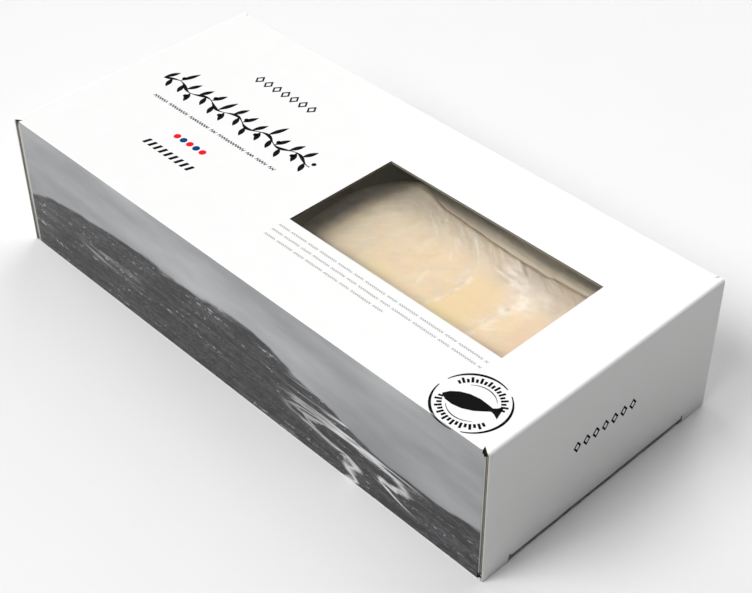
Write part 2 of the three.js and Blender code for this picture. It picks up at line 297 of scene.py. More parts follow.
def board(name, lines, axis, start, stop, closed=False):
    """A closed board: the outer and inner lines of its section, pushed along an axis."""
    mesh = bmesh.new()
    rows = [[[mesh.verts.new(in_space(axis, p, d)) for p in line] for line in lines] for d in (start, stop)]
    (outer_a, inner_a), (outer_b, inner_b) = rows
    count = len(outer_a)
    for i in range(count if closed else count - 1):
        j = (i + 1) % count
        add_face(mesh, (outer_a[i], outer_a[j], outer_b[j], outer_b[i]), OUTER)
        add_face(mesh, (inner_a[i], inner_a[j], inner_b[j], inner_b[i]), INNER)
        add_face(mesh, (outer_a[i], inner_a[i], inner_a[j], outer_a[j]), RAW)
        add_face(mesh, (outer_b[i], inner_b[i], inner_b[j], outer_b[j]), RAW)
    if not closed:
        for i in (0, -1):
            add_face(mesh, (outer_a[i], outer_b[i], inner_b[i], inner_a[i]), RAW)
    return new_object(name, mesh)


def cutter(name, outline, axis, start, stop):
    """A prism to cut with, which leaves raw board on what it cuts."""
    mesh = bmesh.new()
    low, high = ([mesh.verts.new(in_space(axis, p, d)) for p in outline] for d in (start, stop))
    add_face(mesh, low, RAW)
    add_face(mesh, high, RAW)
    for i in range(len(outline)):
        j = (i + 1) % len(outline)
        add_face(mesh, (low[i], low[j], high[j], high[i]), RAW)
    return new_object(name, mesh)


def combine(piece, tool, operation):
    """Joins a tool to a piece or cuts it out, and removes the tool."""
    for each in (piece, tool):
        while len(each.data.materials) < 4:
            each.data.materials.append(None)
    change = piece.modifiers.new("combine", "BOOLEAN")
    change.operation = operation
    change.solver = "MANIFOLD"
    change.object = tool
    shaped = piece.evaluated_get(bpy.context.evaluated_depsgraph_get())
    data = bpy.data.meshes.new_from_object(shaped)
    piece.modifiers.clear()
    piece.data = data
    bpy.data.objects.remove(tool)


# The carton


def sleeve():
    """Top, bottom and both long sides, with the window cut out of the top."""
    outer = rounded_rectangle(SIDE, 0, HEIGHT, SLEEVE_FOLD)
    inner = rounded_rectangle(SIDE - BOARD, BOARD, HEIGHT - BOARD, INNER_FOLD)
    tube = board("carton_board", (outer, inner), "x", -SLEEVE_END, SLEEVE_END, closed=True)
    left, right, front, back = WINDOW.values()
    outline = [(left, front), (right, front), (right, back), (left, back)]
    opening = cutter("opening", outline, "z", HEIGHT - BOARD - RUN_PAST, HEIGHT + RUN_PAST)
    combine(tube, opening, "DIFFERENCE")
    return tube


def sill(side):
    """The strip of bottom panel that runs on under a closure."""
    reach = SIDE - DUST_FOLD
    near, far = sorted((side * (SLEEVE_END - RUN_PAST), side * DUST_FACE))
    lines = [[(-reach, z), (reach, z)] for z in (0, BOARD)]
    return board("sill", lines, "x", near, far)


def closure(side):
    """An end panel with its top fold, shoulders and tuck tongue."""
    reach = SIDE - CLOSURE_CLEARANCE
    root = (side * (SLEEVE_END - CLOSURE_FOLD), HEIGHT)
    corner = (side * END, HEIGHT)
    half = TONGUE["half"]
    edge = half + NOTCH["width"]
    middle = folded(root, corner, (side * END, NOTCH["height"]), CLOSURE_FOLD)
    panel = board("closure", middle, "y", -edge, edge)
    shoulder = folded(root, corner, (side * END, 0), CLOSURE_FOLD)
    for start, stop in ((-reach, -edge), (edge, reach)):
        combine(panel, board("shoulder", shoulder, "y", start, stop), "UNION")
    tip = side * (END - TONGUE["length"])
    upper = (side * END, NOTCH["height"] + RUN_PAST)
    bend = folded(upper, (side * END, TONGUE_FACE), (tip, TONGUE_FACE), TONGUE_FOLD)
    combine(panel, board("tongue", bend, "y", -half, half), "UNION")
    for flank in (-1, 1):
        outline = [
            (tip - side * RUN_PAST, flank * (half - TONGUE["taper"])),
            (side * (END - 2 * TONGUE_FOLD), flank * (half + RUN_PAST)),
            (tip - side * RUN_PAST, flank * (half + RUN_PAST)),
        ]
        combine(panel, cutter("taper", outline, "z", -RUN_PAST, 2 * TONGUE_FACE), "DIFFERENCE")
    return panel


def dust_flap(side, flank):
    """A flap folded in behind a closure from a long side."""
    root = (side * (SLEEVE_END - DUST_FOLD), flank * SIDE)
    corner = (side * DUST_FACE, flank * SIDE)
    tip = (side * DUST_FACE, flank * (SIDE - DUST_FLAP["length"]))
    lines = folded(root, corner, tip, DUST_FOLD)
    return board("dust_flap", lines, "z", DUST_FOOT, HEIGHT - DUST_FLAP["drop"])


def relief_slit(side, flank):
    """A short slit through a top corner, which frees the closure's fold."""
    inner = Vector((side * (END - SLIT["from_end"]), flank * (SIDE - SLIT["from_side"])))
    mouth = Vector((side * (END - SLIT["mouth"]), flank * (SIDE + RUN_PAST)))
    run = mouth - inner
    width = SLIT["front_width"] if flank < 0 else SLIT["back_width"]
    across = Vector((-run.y, run.x)).normalized() * width / 2
    outline = [inner, mouth + across, mouth - across]
    return cutter("slit", outline, "z", HEIGHT - BOARD - RUN_PAST, HEIGHT + RUN_PAST)


def mark_printed_faces(data):
    """Gives the front long side and the near part of its folds the band's slot."""
    for face in data.polygons:
        at_end = abs(face.normal.x) > abs(face.normal.z)
        facing = 0.35 if at_end else math.sqrt(0.5)
        if face.material_index == OUTER and -face.normal.y > facing:
            face.material_index = PRINTED


def carton():
    """The whole folded blank, as one closed board."""
    box = sleeve()
    for side in (-1, 1):
        combine(box, sill(side), "UNION")
        for flank in (-1, 1):
            combine(box, dust_flap(side, flank), "UNION")
        combine(box, closure(side), "UNION")
        for flank in (-1, 1):
            combine(box, relief_slit(side, flank), "DIFFERENCE")
    mark_printed_faces(box.data)
    makers = (coated_board, printed_band, raw_edge, inner_board)
    for slot, maker in enumerate(makers):
        box.data.materials[slot] = maker()
    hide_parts("carton")
    return box


# The print: thin prisms of ink, made from strips between two lines of points


def on_top(u, v, lift):
    return Vector((u, v, HEIGHT + lift))


def on_end(u, v, lift):
    return Vector((END + lift, u, v))


def over_front(u, v, lift):
    """On the top panel, round its front fold and down the long side."""
    past = SLEEVE_FOLD - SIDE - v
    turn = min(max(past / SLEEVE_FOLD, 0), math.pi / 2)
    down = max(past - SLEEVE_FOLD * math.pi / 2, 0)
    radius = SLEEVE_FOLD + lift
    y = SLEEVE_FOLD - SIDE - min(past, 0) - radius * math.sin(turn)
    return Vector((u, y, HEIGHT - SLEEVE_FOLD + radius * math.cos(turn) - down))


def add_strip(mesh, pairs, place, across=1, closed=False):
    """A closed prism between the two points of each pair, on the surface that place gives."""
    layers = []
    for lift in (INK["proud"], -INK["root"]):
        spots = [[a.lerp(b, k / across) for k in range(across + 1)] for a, b in pairs]
        layers.append([[mesh.verts.new(place(p.x, p.y, lift) * MM) for p in row] for row in spots])
    upper, lower = layers
    count = len(pairs)
    for i in range(count if closed else count - 1):
        j = (i + 1) % count
        for k in range(across):
            for layer in layers:
                add_face(mesh, (layer[i][k], layer[i][k + 1], layer[j][k + 1], layer[j][k]))
        for k in (0, across):
            add_face(mesh, (upper[i][k], lower[i][k], lower[j][k], upper[j][k]))
    if not closed:
        for i in (0, count - 1):
            for k in range(across):
                add_face(mesh, (upper[i][k], lower[i][k], lower[i][k + 1], upper[i][k + 1]))


def stroke(points, widths):
    """Pairs along a pen stroke, from its middle line and widths."""
    pairs = []
    last = len(points) - 1
    for i, (point, width) in enumerate(zip(points, widths)):
        ahead = points[min(i + 1, last)] - points[max(i - 1, 0)]
        aside = Vector((-ahead.y, ahead.x)).normalized() * width / 2
        pairs.append((point + aside, point - aside))
    return pairs


def leaf(foot, tip, width):
    """An almond shape from foot to tip."""
    return stroke([foot.lerp(tip, t) for t in STEPS], [width * math.sin(math.pi * t) for t in STEPS])


def disc(centre, radius):
    turns = [math.pi * t for t in STEPS]
    middle = [centre - Vector((radius * math.cos(t), 0)) for t in turns]
    return stroke(middle, [2 * radius * math.sin(t) for t in turns])


def lozenges(left, right, middle, height, count, pen):
    """A row of upright diamonds, drawn as outlines."""
    pitch = (right - left) / count
    for k in range(count):
        centre = Vector((left + (k + 0.5) * pitch, middle))
        reach = Vector((0.4 * pitch, height / 2))
        corners = [Vector((reach.x, 0)), Vector((0, reach.y)), Vector((-reach.x, 0)), Vector((0, -reach.y))]
        inner = 1 - 2 * pen / pitch
        yield [(centre + corner, centre + corner * inner) for corner in corners]


def zigzags(left, right, middle, height, pen, seed):
    """Groups of zigzags along a line, in place of small print."""
    draw = random.Random(seed)
    step = 0.3 * height
    x = left
    while x < right - 4 * step:
        group = []
        for i in range(min(draw.randint(6, 24), int((right - x) / step))):
            reach = (height - pen) * draw.uniform(0.3, 0.5)
            spot = Vector((x + i * step, middle + (reach if i % 2 else -reach)))
            group.append((spot + Vector((0, pen / 2)), spot - Vector((0, pen / 2))))
        yield group
        x += (len(group) + 1) * step


def bars(left, right, middle, height, count, pen):
    """A row of bold slanted bars."""
    pitch = (right - left) / count
    for k in range(count):
        foot = Vector((left + (k + 0.3) * pitch, middle - height / 2))
        tip = foot + Vector((0.3 * pitch, height))
        yield [(p - Vector((pen / 2, 0)), p + Vector((pen / 2, 0))) for p in (foot, tip)]


def vine():
    """A swaying stem with slanted leaves and berries."""
    left, right, middle = VINE["left"], VINE["right"], VINE["middle"]

    def stem(x):
        return Vector((x, middle + VINE["sway"] * math.sin(2 * math.pi * x / VINE["wave"])))

    steps = VINE["steps"]
    points = [stem(left + (right - left) * i / steps) for i in range(steps + 1)]
    widths = [VINE["thin"] + VINE["swell"] * math.sin(VINE["swell_step"] * i) for i in range(steps + 1)]
    yield stroke(points, [VINE["pen"] * width for width in widths])
    pitch = (right - left) / VINE["leaves"]
    for k in range(VINE["leaves"]):
        foot = stem(left + k * pitch)
        up = k % 2 == 0
        reach = VINE["tall"] if k % 8 == 2 else VINE["up"] if up else -VINE["down"]
        yield leaf(foot, foot + Vector((VINE["lean"], reach)), VINE["leaf_width"])
        if k % 3 == 1:
            drop = VINE["berry_below"] if up else -VINE["berry_above"]
            yield disc(stem(foot.x + pitch) - Vector((0, drop)), VINE["berry"])


def seal():
    """A round stamp: a broken ring, ticks, two thin arcs and a plain fish."""
    centre = Vector(SEAL["centre"])

    def spot(radius, degrees):
        turn = math.radians(degrees)
        return centre + Vector((math.cos(turn), math.sin(turn))) * radius

    def ring_part(radius, start, stop, pen):
        count = int((stop - start) / 2)
        turns = [start + (stop - start) * i / count for i in range(count + 1)]
        swell = [pen * (0.35 + 0.65 * math.sin(math.pi * i / count)) for i in range(count + 1)]
        return stroke([spot(radius, t) for t in turns], swell)

    for start, stop in SEAL["ring_parts"]:
        yield ring_part(SEAL["ring"], start, stop, SEAL["ring_pen"])
    for start in SEAL["halves"]:
        low, high = SEAL["inner_span"]
        yield ring_part(SEAL["inner"], start + low, start + high, SEAL["inner_pen"])
        for k in range(SEAL["ticks"]):
            turn = start + SEAL["tick_span"] * k / (SEAL["ticks"] - 1)
            top = SEAL["tick_top"] if k % 2 else SEAL["tick_short"]
            yield stroke([spot(SEAL["tick_foot"], turn), spot(top, turn)], [SEAL["tick_pen"]] * 2)
    tilt = Matrix.Rotation(math.radians(SEAL["tilt"]), 2)
    shape = [(Vector((x, half)), Vector((x, -half))) for x, half in FISH_SIGN]
    yield [(centre + tilt @ a, centre + tilt @ b) for a, b in shape]


def printed(name, ink_name, place, shapes, across=1, closed=False):
    """One printed piece: all its shapes in one ink."""
    mesh = bmesh.new()
    for pairs in shapes:
        add_strip(mesh, pairs, place, across, closed)
    piece = new_object(name, mesh)
    piece.data.materials.append(ink(name, INK[ink_name]))
    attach(piece, BODY)


def print_pieces():
    """Generic print, in the sizes and colours of such a carton."""
    printed("print_vine", "black", on_top, vine())
    printed("print_upper_row", "black", on_top, lozenges(**UPPER_ROW), closed=True)
    printed("print_end_row", "black", on_end, lozenges(**END_ROW), closed=True)
    printed("print_thin_row", "grey", on_top, zigzags(**THIN_ROW))
    printed("print_bars", "black", on_top, bars(**BARS))
    printed("print_note", "pale", on_top, [group for row in NOTE for group in zigzags(*row, **NOTE_PEN)])
    for colour, first in (("red", 0), ("blue", 1)):
        spots = [Vector((DOTS["x"] + k * DOTS["pitch"], DOTS["y"])) for k in range(first, DOTS["count"], 2)]
        printed("print_dots_" + colour, colour, on_top, [disc(spot, DOTS["radius"]) for spot in spots])
    printed("print_seal", "black", over_front, seal(), across=4)


# The fillet


def bell(distance, width):
    return math.exp(-((distance / width) ** 2))


def smooth(value, low, high):
    """From 0 below low to 1 above high, with a soft start and stop."""
    t = min(1.0, max(0.0, (value - low) / (high - low)))
    return t * t * (3 - 2 * t)


def outline_radius(angle):
    """The fillet's outline from above: a rounded box, squarest at its back right corner."""
    power = PLAN["power"] + PLAN["extra"] * math.cos(angle - PLAN["squarest"])
    cos = abs(math.cos(angle)) / FISH["half_length"]
    sin = abs(math.sin(angle)) / FISH["half_width"]
    ripple = 1 + sum(size * math.sin(waves * angle + phase) for waves, size, phase in RIPPLES)
    return ripple * (cos**power + sin**power) ** (-1 / power)


def seam_y(x):
    return SEAM["y"] + SEAM["bow"] * (x - SEAM["x"]) ** 2


def seam_line(x):
    """Where the seam shows: along the form's seam, but further back near its ends."""
    rise = SEAM_RISE["curve"] * max(0, SEAM_RISE["from"] - x) ** 2
    return seam_y(x) + rise + SEAM_STEP * rising("seam_step", x) - SEAM_SAG * rising("seam_sag", x)


def septum_shift(y):
    past = y - SEPTUM["bend"]
    return -SEPTUM["sweep"] * past**2 if past > 0 else -SEPTUM["lean"] * past**2


def septum_places():
    """Where each septum crosses the front half, with a slow drift in their pitch."""
    for k in range(FLAKE["count"]):
        drift = DRIFT["height"] * math.sin(DRIFT["step"] * k + DRIFT["start"])
        yield FLAKE["first"] + FLAKE["pitch"] * k + drift


PLACES = list(septum_places())


def flake_grooves(x, y):
    along = x - septum_shift(min(y, seam_y(x)))
    depth = FLAKE["depth"] * bell(max(0, y - FLAKE_FADE["from"]), FLAKE_FADE["over"])
    return sum(depth * bell(along - place, FLAKE["width"]) for place in PLACES)


def form_height(x, y):
    """The fillet's top as the solid has it."""
    behind = y - seam_y(x)
    dome = DOME["across"] * (y - FISH["y"]) ** 2 + DOME["along"] * (x - FISH["x"]) ** 2
    swell = SWELL["height"] * math.sin(x / SWELL["x"] + SWELL["phase"]) * math.cos(y / SWELL["y"])
    seam = SEAM["depth"] * bell(behind, SEAM["width"]) + SEAM["drop"] * max(0, behind)
    fall = END_FALL["depth"] * (1 - bell(max(0, END_FALL["from"] - x), END_FALL["over"]))
    return FISH["crest"] - dome + swell - seam - fall - flake_grooves(x, y)


def grain(name, x, y):
    """Smooth noise from about -1 to 1."""
    cell_x, cell_y, layer = GRAINS[name]
    return noise.noise((x / cell_x, y / cell_y, layer))


def rising(name, value):
    """How far a named change has come in, from 0 to 1."""
    return smooth(value, *FADES[name])


def falling(name, value):
    return 1 - rising(name, value)


def make_strands():
    """Pale strands in the membrane: place, middle, half length, width and strength."""
    draw = random.Random(STRANDS["seed"])
    stray = STRANDS["stray"]
    for k in range(STRANDS["count"]):
        place = STRANDS["first"] + STRANDS["pitch"] * (k + draw.uniform(-stray, stray))
        yield place, *(draw.uniform(*limits) for limits in STRAND_LIMITS)


def strands_at(along, y):
    shown = 0
    for place, middle, half, width, strength in STRAND_LIST:
        if abs(along - place) < 3 * width and abs(y - middle) < half:
            shown = max(shown, strength * bell(along - place, width) * (1 - ((y - middle) / half) ** 2))
    return shown


STRAND_LIST = list(make_strands())


def strokes(x, y, lines):
    """How much of the nearest soft line shows at a point."""
    shown = 0
    for (x1, y1), (x2, y2), width, strength in lines:
        dx, dy = x2 - x1, y2 - y1
        length = math.hypot(dx, dy)
        along = ((x - x1) * dx + (y - y1) * dy) / length**2
        off = ((x - x1) * dy - (y - y1) * dx) / length
        if abs(off) < 3 * width and -0.2 < along < 1.2:
            ends = smooth(along, -0.15, 0.25) * (1 - smooth(along, 0.75, 1.15))
            shown = max(shown, strength * bell(off, width) * ends)
    return shown


def patches(x, y, spots):
    """How much of the nearest soft patch shows at a point."""
    shown = 0
    cos, sin = math.cos(PATCH_SLANT), math.sin(PATCH_SLANT)
    for middle_x, middle_y, reach, width, strength in spots:
        u = (x - middle_x) * cos + (y - middle_y) * sin
        v = (y - middle_y) * cos - (x - middle_x) * sin
        shown = max(shown, strength * bell(math.hypot(u / reach, v / width), 1.0))
    return shown


def flesh_masks(x, y, along, fine, front):
    """Tints of the bare flesh, and painted shade in the grey towards the left end."""
    brush = grain("brush", y - x, x + y)
    rind = 1 - smooth(y, -14.5, -8 + 2 * grain("rind", x, y))
    return {
        "rosy": rising("rosy", grain("rosy", x, y) + 0.5 * fine),
        "dusky": rising("dusky", grain("dusky", x, y) + 0.35 * brush - 0.4 * fine),
        "gold": rising("gold_starts", along) * falling("gold_ends", along) * falling("gold_y", y),
        "sunny": rising("sunny_x", x) * falling("sunny_y", y),
        "rind": rind * max(bell(x - middle, reach) for middle, reach in RIND_SPOTS),
        # grey: partly the flesh's tint, partly painted shade where the fillet falls away under the top panel
        "grey": falling("grey", x) * front * (0.7 + 0.3 * brush),
    }


def membrane_masks(x, y, along, warped, blotch, front):
    """The membrane near the seam, the septa, and what stands out on them."""
    edge = 18 - 0.08 * x + 2.5 * grain("membrane", x, y)
    membrane = smooth(y, edge - 7, edge + 7)
    septa = max(shown * bell(along - place, 0.6 + 0.9 * blotch) for place, shown in zip(PLACES, SEPTA_SHOWN))
    bands = rising("bands", grain("bands", along, y) + 0.5 * grain("breaks", x, y))
    patchy = 0.35 + 0.65 * rising("patchy", grain("patchy", x, y))
    strands = max(0.45 * bands * membrane, 0.7 * strands_at(along, y) * membrane)
    mauve = rising("mauve_starts", x) * (0.5 + 0.4 * bands) * (1 - 0.65 * rising("mauve_weakens", x))
    return {
        "septa": septa * (0.35 + 0.65 * blotch) * (1 - 0.6 * membrane) * front,
        "membrane": membrane * front,
        "mauve": membrane * front * mauve,
        # streak: pale strands, and at the left end painted highlights
        "streak": front * max(strands, strokes(*warped, PALE_STROKES)),
        # crease: darker tissue lines, partly painted shade in the creases
        "crease": front * strokes(*warped, DARK_STROKES),
        "tan": patches(*warped, TANS) * front,
        "cloud": patches(*warped, CLOUDS) * patchy * front,
    }


def shade_masks(x, y, behind, fine, blotch, back):
    """Where the flesh is in shade: at and behind the seam, at the left end and at the front rim."""
    off_seam = behind + 0.25 * grain("wobble", x, 0)
    wedge = falling("wedge", x)
    dark = (
        falling("corner_y", y) * falling("corner_x", x),
        0.8 * rising("nook_y", y) * falling("nook_x", x),
        wedge * bell(off_seam, 1.2 + 1.8 * falling("wedge_narrows", x)),
        0.28 * falling("mottle_x", x) * rising("mottle", grain("mottle", x, y)),
        0.6 * falling("end", x),
        0.22 * bell(x - 5, 5) * (1 - back),
    )
    seam = bell(off_seam, 0.4) * (0.55 + 0.45 * blotch) * (1 - wedge)
    return {
        "rim": falling("rim_y", y + 0.4 * fine) * (1 - 0.75 * rising("rim_x", x)),
        "shade": falling("shade", x),
        "back": back,
        "dim": back * falling("dim", x),
        "deep": rising("deep_starts", behind) * (1 - 0.8 * rising("deep_ends", behind)),
        "wedge": max(dark),
        "seam": seam * (1 - 0.35 * rising("seam_weakens", x)),
    }


def masks(x, y):
    """How much each kind of tissue and each painted shade and highlight shows at a point of the top, from 0
    to 1.
    """
    coarse, fine = grain("coarse", x, y), grain("fine", x, y)
    warped = (x + 0.9 * coarse + 0.45 * fine, y + 0.7 * grain("sway", x, y) - 0.35 * fine)
    along = x - septum_shift(min(y, seam_y(x))) + 1.2 * coarse + 0.7 * fine
    blotch = rising("blotch", grain("blotch", x, y))
    behind = y - seam_line(x)
    back = rising("back", behind)
    return {
        **flesh_masks(x, y, along, fine, 1 - back),
        **membrane_masks(x, y, along, warped, blotch, 1 - back),
        **shade_masks(x, y, behind, fine, blotch, back),
    }


def detail_height(x, y, mask):
    """Fine relief of the top, which the solid leaves out."""
    lumps = sum(height * grain(name, x, y) for name, height in LUMPS.items())
    relief = sum(height * mask[name] for name, height in RELIEF.items())
    shown = bell(y - seam_line(x), SEAM["width"]) * rising("seam_groove", x)
    moved = SEAM["depth"] * (bell(y - seam_y(x), SEAM["width"]) - shown)
    return lumps + relief + moved + FLAKE_FILL * flake_grooves(x, y)


def ring(inset, height_at):
    """A ring at a distance in from the fillet's outline, with the masks of its points."""
    row = []
    for i in range(SECTORS):
        angle = i / SECTORS * 2 * math.pi
        reach = outline_radius(angle)
        scale = max(0, 1 - inset(reach) / reach)
        x = FISH["x"] + scale * reach * math.cos(angle)
        y = FISH["y"] + scale * reach * math.sin(angle)
        mask = masks(x, y)
        row.append(((x, y, height_at(x, y, mask)), mask))
    return row


def top_height(x, y, mask):
    return form_height(x, y) + detail_height(x, y, mask)


def fractions(count):
    return [i / count for i in range(1, count + 1)]


def fillet_rings():
    """All rings, from the middle of the top to the middle of the underside."""
    shoulder, heel, undercut = (FISH[key] for key in ("shoulder", "heel", "undercut"))
    for t in fractions(TOP_RINGS):
        yield ring(lambda reach: reach - (reach - shoulder) * t, top_height)
    for t in fractions(SHOULDER_RINGS):
        turn = t * math.pi / 2
        fall = shoulder * (1 - math.cos(turn))
        yield ring(lambda reach: shoulder * (1 - math.sin(turn)), lambda x, y, m: top_height(x, y, m) - fall)
    for t in fractions(FLANK_RINGS):

        def flank_height(x, y, mask):
            upper = top_height(x, y, mask) - shoulder
            return upper + (SOLE + heel - upper) * t

        yield ring(lambda reach: undercut * t, flank_height)
    for t in fractions(HEEL_RINGS):
        turn = t * math.pi / 2
        inset = undercut + heel * (1 - math.cos(turn))
        height = SOLE + heel * (1 - math.sin(turn))
        yield ring(lambda reach: inset, lambda x, y, m: height)
    for i in range(1, SOLE_RINGS + 1):
        edge = undercut + heel
        t = i / (SOLE_RINGS + 1)
        yield ring(lambda reach: edge + (reach - edge) * t, lambda x, y, m: SOLE)


def fillet_faces(top):
    """Faces over all rings, from the top's middle point to the next one below."""
    last = top - SECTORS
    for i in range(SECTORS):
        j = (i + 1) % SECTORS
        yield top, i, j
        yield top + 1, last + j, last + i
        for start in range(0, last, SECTORS):
            yield start + i, start + SECTORS + i, start + SECTORS + j, start + j


def fillet():
    """The fillet with its fine relief, and an attribute for each kind of tissue and each painted shade and
    highlight.
    """
    points, tissue = [], []
    for row in fillet_rings():
        for point, mask in row:
            points.append(Vector(point) * MM)
            tissue.append(mask)
    middle = (FISH["x"], FISH["y"])
    here = masks(*middle)
    points.append(Vector((*middle, top_height(*middle, here))) * MM)
    points.append(Vector((*middle, SOLE)) * MM)
    tissue += [here, here]
    data = bpy.data.meshes.new("fillet_flesh")
    data.from_pydata(points, [], list(fillet_faces(len(points) - 2)))
    data.shade_smooth()
    for name in here:
        layer = data.attributes.new(name, "FLOAT", "POINT")
        layer.data.foreach_set("value", [mask[name] for mask in tissue])
    piece = placed("fillet_flesh", data)
    data.materials.append(flesh())
    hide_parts("fillet")
    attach(piece, BODY)
    return piece


# Materials

BOARD_WHITE = (0.84, 0.84, 0.835)
# The end panels' white: the same board, greyed by painted shade
SHADED_END_WHITE = (0.79, 0.79, 0.785)
# The line between the band's fields: its level, its waves' length, phase and height, and its roughness
BAND_LEVEL = 35
BAND_WAVES = ((46, 2.1, 8), (19, 0.4, 2))
BAND_ROUGHNESS = 9
# How the light field darkens along x or z: from where to where, and from what to what
BAND_SHADES = (("x", -130, -50, 0.78, 1.0), ("x", -20, 120, 1.0, 0.82), ("z", 26, 58, 0.85, 1.0))


class Shader:
    """A node material, with short forms of the nodes used here."""

    def __init__(self, name, roughness, specular=0.5):
        self.material = bpy.data.materials.new(name)
        self.material.use_nodes = True
        self.tree = self.material.node_tree
        self.surface = self.tree.nodes["Principled BSDF"]
        self.fill(self.surface, {"Roughness": roughness, "Specular IOR Level": specular})
        self.place = self.new("ShaderNodeTexCoord").outputs["Object"]

    def new(self, kind):
        return self.tree.nodes.new(kind)

    def put(self, socket, value):
        """Links an output to a socket, or sets the socket to a plain value."""
        if isinstance(value, bpy.types.NodeSocket):
            self.tree.links.new(value, socket)
        elif socket.type == "RGBA":
            socket.default_value = (*value, 1)
        else:
            socket.default_value = value

    def fill(self, node, inputs, output=0):
        """Puts values or links into a node's inputs, and gives one of its outputs."""
        for key, value in inputs.items():
            self.put(node.inputs[key], value)
        return node.outputs[output]

    def math(self, operation, a, b=0.0):
        node = self.new("ShaderNodeMath")
        node.operation = operation
        return self.fill(node, {0: a, 1: b})

    def times(self, a, b):
        return self.math("MULTIPLY", a, b)

    def noise(self, cell, stretch=(1, 1, 1), detail=3.0, shift=0.0, distortion=0.0):
        """Noise from 0 to 1 whose cells are that many millimetres, times the stretch."""
        scale = [1 / (cell * MM * s) for s in stretch]
        mapping = {"Vector": self.place, "Location": (shift, shift, shift), "Scale": scale}
        place = self.fill(self.new("ShaderNodeMapping"), mapping)
        look = {"Vector": place, "Scale": 1.0, "Detail": detail, "Distortion": distortion}
        return self.fill(self.new("ShaderNodeTexNoise"), look, "Fac")

    def axis(self, name):
        """One coordinate of the place, in millimetres."""
        along = self.fill(self.new("ShaderNodeSeparateXYZ"), {0: self.place}, name)
        return self.times(along, 1 / MM)

    def attribute(self, name):
        node = self.new("ShaderNodeAttribute")
        node.attribute_name = name
        return node.outputs["Fac"]

    def scaled(self, value, from_low, from_high, to_low=0.0, to_high=1.0):
        """A value moved from one range to another, with soft ends."""
        node = self.new("ShaderNodeMapRange")
        node.interpolation_type = "SMOOTHSTEP"
        return self.fill(node, {0: value, 1: from_low, 2: from_high, 3: to_low, 4: to_high})

    def between(self, value, low, high):
        """1 between two limits and 0 outside them, with a step of a tenth."""
        above = self.scaled(value, low - 0.1, low)
        return self.times(above, self.scaled(value, high, high + 0.1, 1.0, 0.0))

    def grey(self, value):
        """A value as the three channels of a colour."""
        return self.fill(self.new("ShaderNodeCombineColor"), {0: value, 1: value, 2: value})

    def mix(self, amount, a, b, blend="MIX"):
        node = self.new("ShaderNodeMix")
        node.data_type = "RGBA"
        node.blend_type = blend
        return self.fill(node, {0: amount, 6: a, 7: b}, 2)

    def color(self, value):
        self.put(self.surface.inputs["Base Color"], value)

    def rough(self, value):
        self.put(self.surface.inputs["Roughness"], value)

    def bump(self, height, depth):
        """Relief of that many millimetres."""
        relief = {"Strength": 1.0, "Distance": depth * MM, "Height": height}
        normal = self.fill(self.new("ShaderNodeBump"), relief)
        self.put(self.surface.inputs["Normal"], normal)


def coated_board():
    """White coated board, with a faint fibre grain under its coat, and painted shade that greys the end
    panels.
    """
    shader = Shader("coated_board", roughness=0.5, specular=0.3)
    mottle = shader.noise(9, detail=4)
    white = shader.mix(mottle, BOARD_WHITE, (0.87, 0.87, 0.866))
    # Painted shade on the end panels, with less of it near the bottom
    at_end = shader.scaled(shader.math("ABSOLUTE", shader.axis("X")), END - 0.6, END - 0.1)
    upper = shader.scaled(shader.axis("Z"), 2, 30, 0.2, 1.0)
    shader.color(shader.mix(shader.times(at_end, upper), white, SHADED_END_WHITE))
    fibres = shader.noise(0.5, stretch=(3, 1, 1), detail=4)
    shader.rough(shader.scaled(fibres, 0.3, 0.7, 0.46, 0.56))
    shader.bump(fibres, 0.006)
    return shader.material


def field_edge(shader, x):
    """The height at which the band's dark field ends, with a rough rim."""
    level = BAND_LEVEL
    for length, phase, height in BAND_WAVES:
        wave = shader.math("SINE", shader.math("ADD", shader.math("DIVIDE", x, length), phase))
        level = shader.math("ADD", shader.times(wave, height), level)
    rough = shader.times(shader.noise(16, stretch=(2, 1, 0.6), detail=6), BAND_ROUGHNESS)
    return shader.math("SUBTRACT", level, rough)


def light_field(shader, places):
    cloud = shader.noise(60, stretch=(1.6, 1, 0.4), detail=5, shift=4.0)
    field = shader.mix(shader.scaled(cloud, 0.3, 0.75), (0.27, 0.275, 0.285), (0.50, 0.505, 0.51))
    for name, *limits in BAND_SHADES:
        field = shader.mix(1.0, field, shader.grey(shader.scaled(places[name], *limits)), "MULTIPLY")
    return field


def dark_field(shader):
    coarse = shader.noise(5, stretch=(5, 1, 0.5), detail=8, shift=1.0, distortion=0.6)
    crisp = shader.noise(1.3, stretch=(2.2, 1, 0.7), detail=3, shift=6.0)
    veins = shader.noise(34, stretch=(2.2, 1, 0.45), detail=7, shift=9.0, distortion=0.8)
    vein = shader.scaled(shader.math("ABSOLUTE", shader.math("SUBTRACT", veins, 0.5)), 0.0, 0.035, 1.0, 0.0)
    patch = shader.scaled(shader.noise(70, stretch=(1.2, 1, 0.8), detail=2, shift=2.6), 0.45, 0.62)
    flecks = shader.times(shader.scaled(crisp, 0.60, 0.66), shader.scaled(coarse, 0.5, 0.6))
    field = shader.mix(shader.scaled(coarse, 0.25, 0.8), (0.02, 0.02, 0.022), (0.085, 0.085, 0.09))
    field = shader.mix(shader.scaled(crisp, 0.42, 0.56, 0.0, 0.8), field, (0.012, 0.012, 0.013))
    field = shader.mix(shader.times(flecks, 0.6), field, (0.5, 0.5, 0.51))
    return shader.mix(shader.times(vein, patch), field, (0.62, 0.62, 0.63))


def band_edging_and_gap_shade(shader, x, z):
    """The board between the print and the ends: lighter at the crease, with painted shade past it where the
    fold turns into the gap, and darker towards the bottom.
    """
    crease = shader.between(x, BAND["crease_left"], BAND["crease_right"])
    # Past the creases, the fold's white board is painted dark as the gap's shade
    edging = shader.mix(crease, (0.21, 0.20, 0.165), (0.43, 0.43, 0.42))
    return shader.mix(1.0, edging, shader.grey(shader.scaled(z, 12, 36, 0.72, 1.0)), "MULTIPLY")


